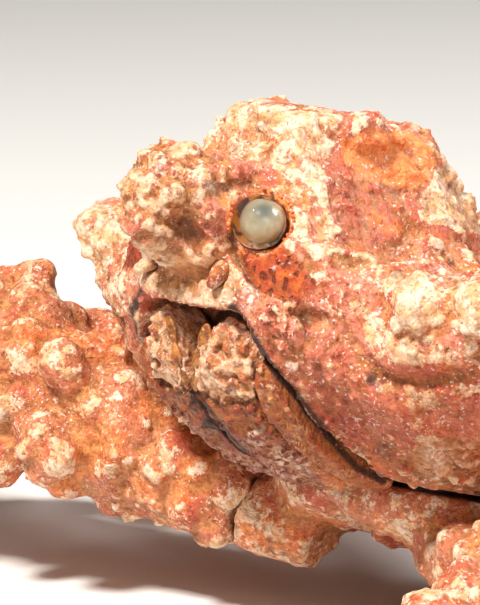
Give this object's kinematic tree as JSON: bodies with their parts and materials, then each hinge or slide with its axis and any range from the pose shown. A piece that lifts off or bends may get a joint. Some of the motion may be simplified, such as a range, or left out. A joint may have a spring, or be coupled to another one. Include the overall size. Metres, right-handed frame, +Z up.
{
  "type": "horrid elbow crab",
  "caption": "Life-size still crab with a rugged, warty carapace, blunt rostrum, stout claw arms and short jagged walking legs, standing.",
  "frame": {"origin": "middle of the outer size in plan, on the floor that the feet stand on", "axes": "-Y is the way the crab faces, +X its left side, +Z up"},
  "size_m": [0.1772, 0.173, 0.0564],
  "materials": {
    "shell": "wet, encrusted, warty shell",
    "limbs": "wet, encrusted, warty shell",
    "claw_tips": "smooth dark horny shell",
    "mouthparts": "granular shell",
    "eye": "clear glossy cornea over a pearl-grey eye"
  },
  "bodies": {
    "root": {"abdomen": "mouthparts", "antenna_left": "mouthparts", "antenna_right": "mouthparts", "carapace": "shell", "claw_left_carpus": "limbs", "claw_left_dactylus": "claw_tips", "claw_left_merus": "limbs", "claw_left_palm": "limbs", "claw_right_carpus": "limbs", "claw_right_dactylus": "claw_tips", "claw_right_merus": "limbs", "claw_right_palm": "limbs", "exopod_left": "mouthparts", "exopod_right": "mouthparts", "eye_left": "eye", "eye_right": "eye", "leg_left_1_carpus": "limbs", "leg_left_1_dactylus": "limbs", "leg_left_1_merus": "limbs", "leg_left_1_propodus": "limbs", "leg_left_2_carpus": "limbs", "leg_left_2_dactylus": "limbs", "leg_left_2_merus": "limbs", "leg_left_2_propodus": "limbs", "leg_left_3_carpus": "limbs", "leg_left_3_dactylus": "limbs", "leg_left_3_merus": "limbs", "leg_left_3_propodus": "limbs", "leg_left_4_carpus": "limbs", "leg_left_4_dactylus": "limbs", "leg_left_4_merus": "limbs", "leg_left_4_propodus": "limbs", "leg_right_1_carpus": "limbs", "leg_right_1_dactylus": "limbs", "leg_right_1_merus": "limbs", "leg_right_1_propodus": "limbs", "leg_right_2_carpus": "limbs", "leg_right_2_dactylus": "limbs", "leg_right_2_merus": "limbs", "leg_right_2_propodus": "limbs", "leg_right_3_carpus": "limbs", "leg_right_3_dactylus": "limbs", "leg_right_3_merus": "limbs", "leg_right_3_propodus": "limbs", "leg_right_4_carpus": "limbs", "leg_right_4_dactylus": "limbs", "leg_right_4_merus": "limbs", "leg_right_4_propodus": "limbs", "maxilliped_left": "mouthparts", "maxilliped_right": "mouthparts", "thorax": "limbs"}
  },
  "joints": []
}
